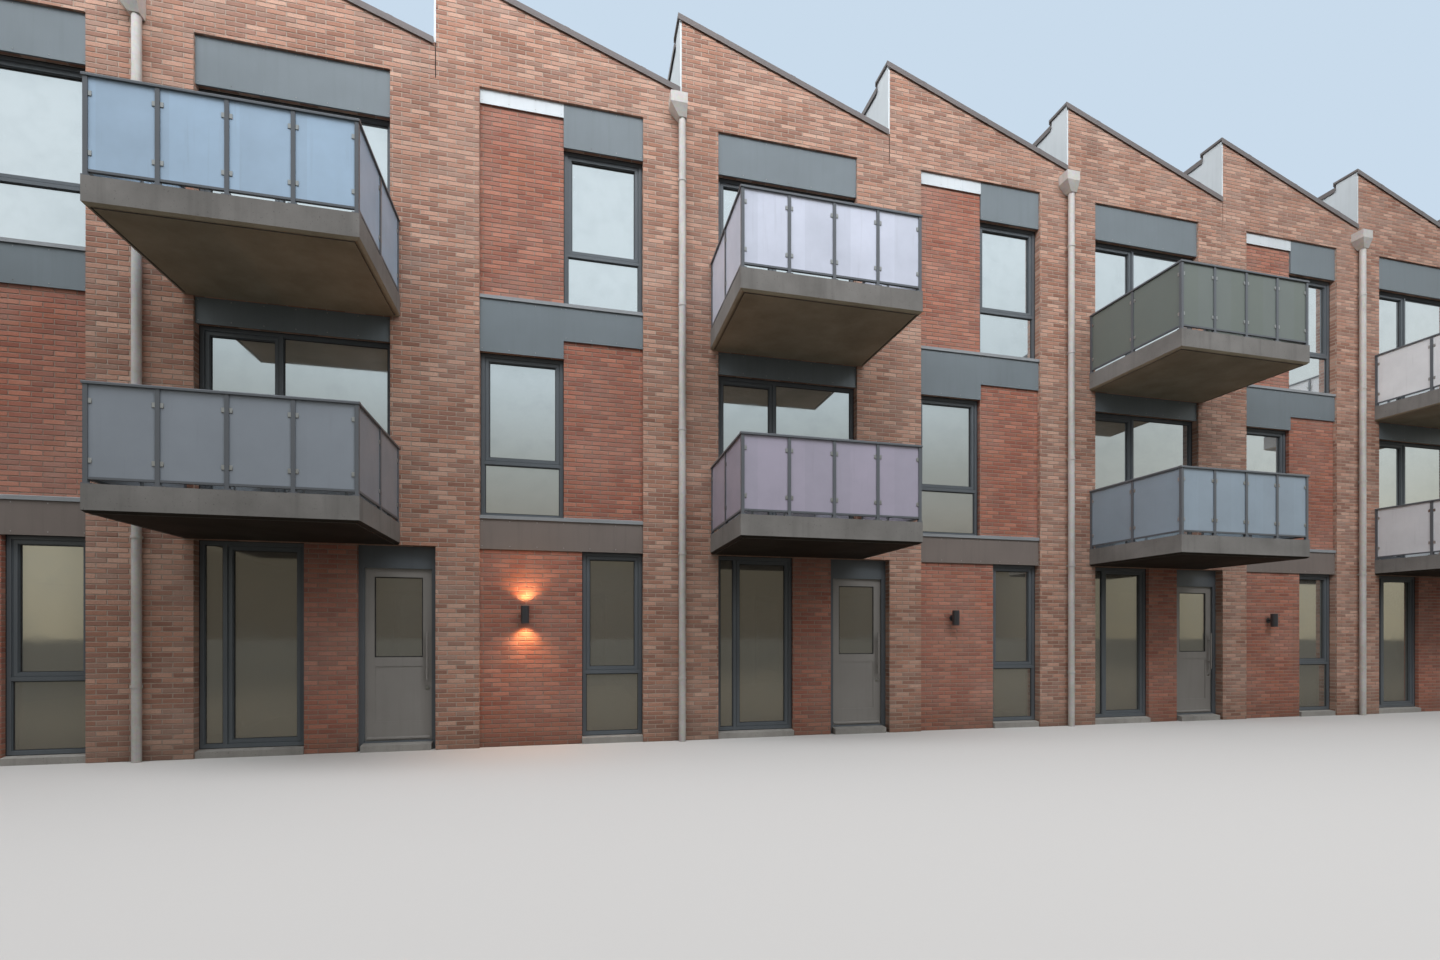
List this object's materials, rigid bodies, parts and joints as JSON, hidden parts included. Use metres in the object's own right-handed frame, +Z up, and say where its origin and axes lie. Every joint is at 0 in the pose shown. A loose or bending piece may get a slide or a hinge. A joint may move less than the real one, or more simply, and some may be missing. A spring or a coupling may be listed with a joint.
{
  "type": "terraced house row",
  "caption": "Brick terraced house row with a sawtooth roofline, stacked balconies, tall windows and hinged front doors.",
  "frame": {"origin": "ground level under the middle of the row, halfway between the street and garden walls", "axes": "+X along the row from its left end seen from the street, +Y from the street to the garden, +Z up"},
  "size_m": [33.06, 11.31, 10.482],
  "materials": {
    "brick": "buff-red clay facing brick in pale mortar",
    "red_brick": "redder clay facing brick in pale mortar",
    "concrete": "fair-faced concrete",
    "plaster": "matt plaster on masonry",
    "grey_metal": "matt grey coated sheet",
    "frame_paint": "satin dark grey coating",
    "window_glass": "clear double glazing",
    "rail_paint": "satin dark grey coating",
    "balcony_glass": "translucent laminated glass",
    "roofing": "grey bitumen sheet",
    "zinc": "dull zinc sheet",
    "coping_metal": "matt dark grey coated sheet",
    "pale_metal": "matt pale grey coated sheet",
    "sill_metal": "satin grey coated sheet",
    "steel": "brushed stainless steel",
    "lamp_metal": "satin dark coating",
    "door_paint": "satin mid grey coating"
  },
  "bodies": {
    "house_row": {"ground_floor_slabs": "concrete", "first_floor_slabs": "concrete", "second_floor_slabs": "concrete", "party_walls": "plaster", "end_walls": "brick", "front_ground_walls": "brick", "front_ground_infill": "red_brick", "front_upper_piers": "brick", "front_lintels": "brick", "front_gables": "brick", "recessed_brick_panels": "red_brick", "panel_trims": "pale_metal", "slab_edge_bands": "grey_metal", "window_head_panels": "grey_metal", "rear_piers": "brick", "rear_lintels": "brick", "rear_spandrels": "red_brick", "rear_gables": "brick", "front_frames_ground": "frame_paint", "front_frames_first": "frame_paint", "front_frames_second": "frame_paint", "front_glass_ground": "window_glass", "front_glass_first": "window_glass", "front_glass_second": "window_glass", "rear_frames": "frame_paint", "rear_glass": "window_glass", "window_sashes": "frame_paint", "window_sills": "sill_metal", "ground_sills": "concrete", "balcony_slabs_first": "concrete", "balcony_slabs_second": "concrete", "balcony_posts": "rail_paint", "balcony_rails": "rail_paint", "balcony_panels": "balcony_glass", "roof_decks": "roofing", "roof_upstands": "zinc", "step_claddings": "pale_metal", "roof_copings": "coping_metal", "ridge_caps": "coping_metal", "rain_hoppers": "zinc", "downpipes": "zinc", "wall_lamps": "lamp_metal", "front_door_jambs": "frame_paint", "front_door_heads": "frame_paint", "front_door_sills": "concrete", "front_door_stops": "frame_paint", "front_door_hinges": "steel"},
    "door_1": {"front_door_1": "door_paint", "front_door_glass_1": "window_glass"},
    "door_2": {"front_door_2": "door_paint", "front_door_glass_2": "window_glass"},
    "door_3": {"front_door_3": "door_paint", "front_door_glass_3": "window_glass"},
    "door_4": {"front_door_4": "door_paint", "front_door_glass_4": "window_glass"},
    "door_5": {"front_door_5": "door_paint", "front_door_glass_5": "window_glass"}
  },
  "joints": [
    {"name": "door_1_hinge", "type": "hinge", "parent": "house_row", "child": "door_1", "pos_m": [-14.1025, -4.57, 1.265], "axis": [0, 0, 1], "range_deg": [0, 90]},
    {"name": "door_2_hinge", "type": "hinge", "parent": "house_row", "child": "door_2", "pos_m": [-7.5025, -4.57, 1.265], "axis": [0, 0, 1], "range_deg": [0, 90]},
    {"name": "door_3_hinge", "type": "hinge", "parent": "house_row", "child": "door_3", "pos_m": [-0.9025, -4.57, 1.265], "axis": [0, 0, 1], "range_deg": [0, 90]},
    {"name": "door_4_hinge", "type": "hinge", "parent": "house_row", "child": "door_4", "pos_m": [5.6975, -4.57, 1.265], "axis": [0, 0, 1], "range_deg": [0, 90]},
    {"name": "door_5_hinge", "type": "hinge", "parent": "house_row", "child": "door_5", "pos_m": [12.2975, -4.57, 1.265], "axis": [0, 0, 1], "range_deg": [0, 90]}
  ]
}
